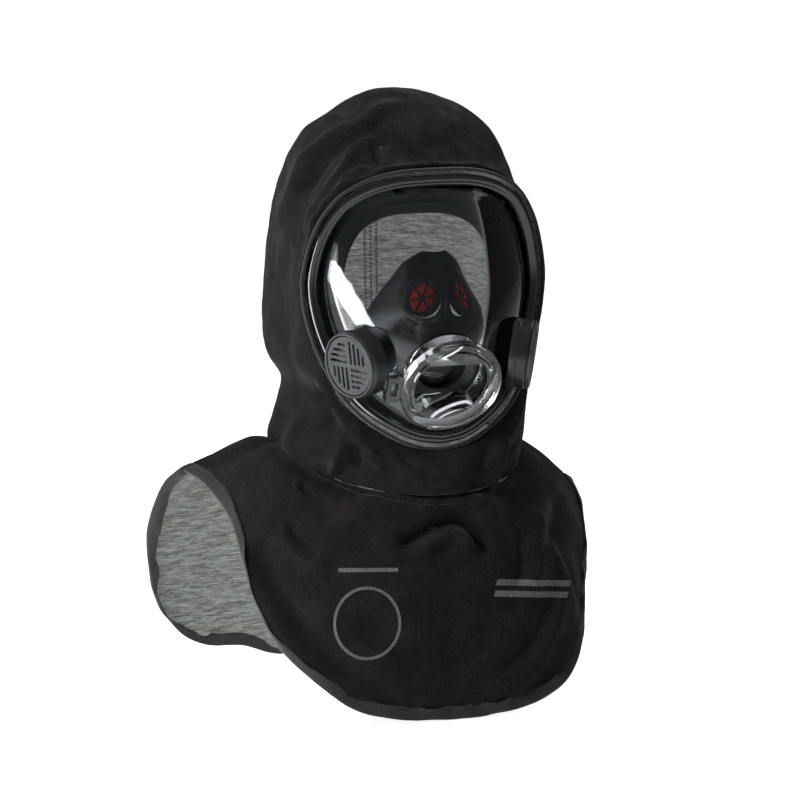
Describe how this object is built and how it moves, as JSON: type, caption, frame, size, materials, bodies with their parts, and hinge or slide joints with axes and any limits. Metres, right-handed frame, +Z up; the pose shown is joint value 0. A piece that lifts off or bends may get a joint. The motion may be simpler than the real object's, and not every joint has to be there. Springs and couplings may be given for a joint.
{
  "type": "firefighter hood with facepiece",
  "caption": "Black knit firefighter hood with a shoulder bib, worn round a clear full-face breathing mask with nose cup, speech grilles and regulator port.",
  "frame": {"origin": "on the floor plane that the hem bindings stand on, under the middle of the overall width and depth; the facepiece's own centre plane lies 9.1 mm to +X of it, because the right shoulder flares further out than the left", "axes": "+Z up, -Y the way the visor faces, +X the wearer's left"},
  "size_m": [0.3758, 0.281, 0.504],
  "materials": {
    "fleece": "brushed black knit with a short raised pile",
    "lining": "grey heather jersey with darker sideways streaks",
    "binding": "black stretch tape, coverstitched",
    "clear": "clear hard-coated polycarbonate",
    "bezel": "gloss black moulding",
    "rubber": "satin black silicone rubber",
    "housing": "satin black moulding",
    "grille": "dark grey moulding",
    "valve_red": "red silicone",
    "film": "thin metallised film",
    "steel": "stainless steel",
    "strap": "matt black strap rubber"
  },
  "bodies": {
    "hood": {"back_hem_binding": "binding", "bib_back_lining": "lining", "bib_back_panel": "fleece", "bib_front_lining": "lining", "bib_front_panel": "fleece", "face_opening_band": "binding", "front_hem_binding": "binding", "hood_lining": "lining", "hood_panel": "fleece"},
    "facepiece": {"bezel_lower": "bezel", "bezel_nut_left": "steel", "bezel_nut_right": "steel", "bezel_screw_left": "steel", "bezel_screw_right": "steel", "bezel_upper": "bezel", "buckle_pin_left": "steel", "buckle_pin_right": "steel", "crown_pad": "strap", "face_seal": "rubber", "inhale_valve_rim_left": "rubber", "inhale_valve_rim_right": "rubber", "inhale_valve_seat_left": "housing", "inhale_valve_seat_right": "housing", "nape_pad": "strap", "neck_strap_left": "strap", "neck_strap_right": "strap", "nose_cup": "rubber", "nose_cup_retainer": "housing", "port_gasket": "rubber", "regulator_catch": "clear", "regulator_port_ring": "clear", "seal_tab_left": "strap", "seal_tab_right": "strap", "strap_buckle_left": "steel", "strap_buckle_right": "steel", "temple_strap_left": "strap", "temple_strap_right": "strap", "visor_lens": "clear", "voice_diaphragm_left": "film", "voice_diaphragm_right": "film", "voice_gasket_left": "rubber", "voice_gasket_right": "rubber", "voice_grille_left": "grille", "voice_grille_right": "grille", "voice_housing_left": "housing", "voice_housing_right": "housing", "voice_rim_left": "grille", "voice_rim_right": "grille"},
    "valve_left": {"inhale_valve_disc_left": "valve_red"},
    "valve_right": {"inhale_valve_disc_right": "valve_red"},
    "lever_left": {"buckle_lever_left": "steel"},
    "lever_right": {"buckle_lever_right": "steel"}
  },
  "joints": [
    {"name": "facepiece_withdraw", "type": "slide", "parent": "hood", "child": "facepiece", "axis": [0, -1, 0], "range_m": [0, 0.05]},
    {"name": "valve_lift_left", "type": "slide", "parent": "facepiece", "child": "valve_left", "axis": [-0.6891, 0.6201, -0.375], "range_m": [0, 0.0015]},
    {"name": "valve_lift_right", "type": "slide", "parent": "facepiece", "child": "valve_right", "axis": [0.6891, 0.6201, -0.375], "range_m": [0, 0.0015]},
    {"name": "lever_swing_left", "type": "hinge", "parent": "facepiece", "child": "lever_left", "pos_m": [0.07013, -0.03751, 0.264], "axis": [0, 0, 1], "range_deg": [0, 60]},
    {"name": "lever_swing_right", "type": "hinge", "parent": "facepiece", "child": "lever_right", "pos_m": [-0.05187, -0.03751, 0.264], "axis": [0, 0, -1], "range_deg": [0, 60]}
  ],
  "couplings": [
    {"joint": "valve_lift_right", "follows": "valve_lift_left", "ratio": 1}
  ]
}
